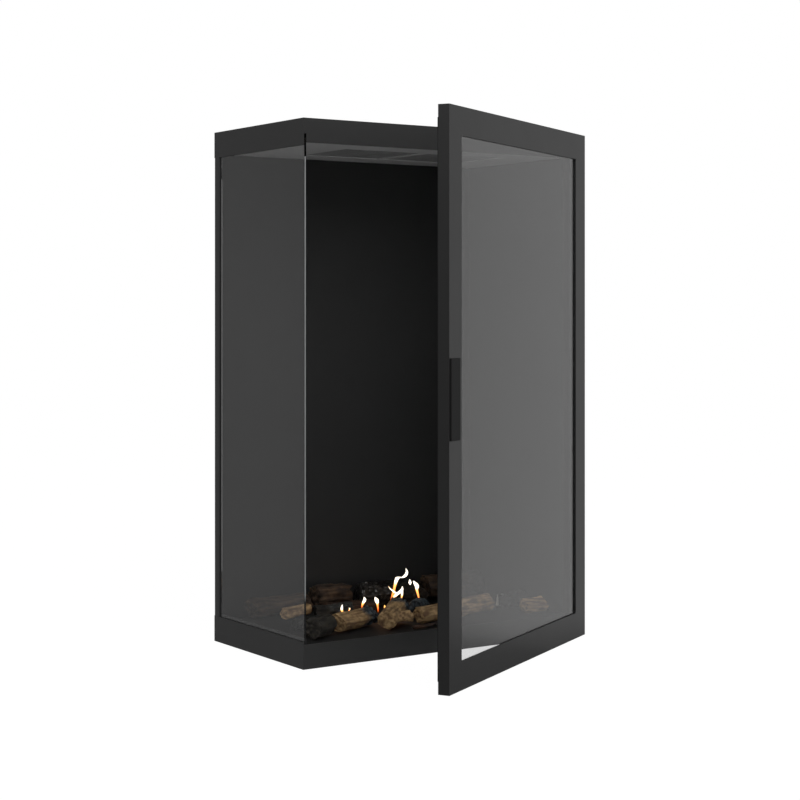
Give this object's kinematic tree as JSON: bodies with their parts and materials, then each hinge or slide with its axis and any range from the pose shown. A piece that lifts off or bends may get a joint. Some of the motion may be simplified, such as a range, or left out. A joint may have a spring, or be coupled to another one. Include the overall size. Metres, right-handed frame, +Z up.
{
  "type": "corner fireplace",
  "caption": "Upright two-sided corner gas log fireplace: black steel casing, fixed side glass, hinged glass door, ceramic log bed and slotted ceiling grilles.",
  "frame": {"origin": "middle of the casing's base, on the surface it stands on", "axes": "+Z up; the hinged door is on the -Y side and the fixed glass on the -X side"},
  "size_m": [0.646, 0.6697, 1.008],
  "materials": {
    "casing_black": "satin black heat-proof paint",
    "liner_black": "matt black heat-proof enamel",
    "steel": "mill steel",
    "stainless": "brushed",
    "brass": "turned",
    "glass": "clear ceramic glass",
    "rope_seal": "black glass-fibre rope and tape",
    "white_ceramic": "smooth",
    "log_ceramic": "rough painted ceramic fibre"
  },
  "bodies": {
    "casing": {"base_pan": "casing_black", "top_frame": "casing_black", "top_plate": "steel", "rear_casing": "casing_black", "right_casing": "casing_black", "hinge_post": "steel", "rear_posts": "steel", "floor_plate": "liner_black", "back_liner": "liner_black", "right_liner": "liner_black", "ceiling_panel": "casing_black", "ceiling_grille_left": "casing_black", "ceiling_grille_right": "casing_black", "flue_box": "steel", "restrictor_plate": "steel", "flue_inner_collar": "steel", "flue_outer_collar": "steel", "side_glass": "glass", "side_glass_seal": "rope_seal", "side_glass_rails": "casing_black", "burner_box": "steel", "burner_deck": "liner_black", "burner_tubes": "stainless", "gas_manifold": "steel", "gas_injectors": "brass", "gas_pipe": "stainless", "gas_inlet_union": "brass", "pilot_bracket": "stainless", "pilot_burner": "stainless", "ignition_electrode": "white_ceramic", "thermocouple": "stainless", "hinge_brackets": "steel", "hinge_washers": "brass", "log_front_left": "log_ceramic", "log_front_middle": "log_ceramic", "log_front_tilted": "log_ceramic", "log_ember_plank": "log_ceramic", "log_front_right": "log_ceramic", "log_blue_black": "log_ceramic", "log_right_front": "log_ceramic", "log_right_charred": "log_ceramic", "log_left_under": "log_ceramic", "log_left_middle": "log_ceramic", "log_left_branch": "log_ceramic", "log_plank": "log_ceramic", "log_back_left": "log_ceramic", "log_back_rough": "log_ceramic", "log_back_black": "log_ceramic", "log_end_on": "log_ceramic", "log_back_right": "log_ceramic"},
    "door": {"door_frame": "casing_black", "door_back": "casing_black", "door_glass": "glass", "door_glass_tape": "rope_seal", "glass_beads": "casing_black", "door_seal": "rope_seal", "door_magnets": "stainless", "handle_plate": "casing_black", "hinge_blocks": "steel", "hinge_pins": "stainless"}
  },
  "joints": [
    {"name": "door_hinge", "type": "hinge", "parent": "casing", "child": "door", "pos_m": [0.312, -0.1829, 0.5], "axis": [0, 0, 1], "range_deg": [-29.2, 65.8]}
  ]
}
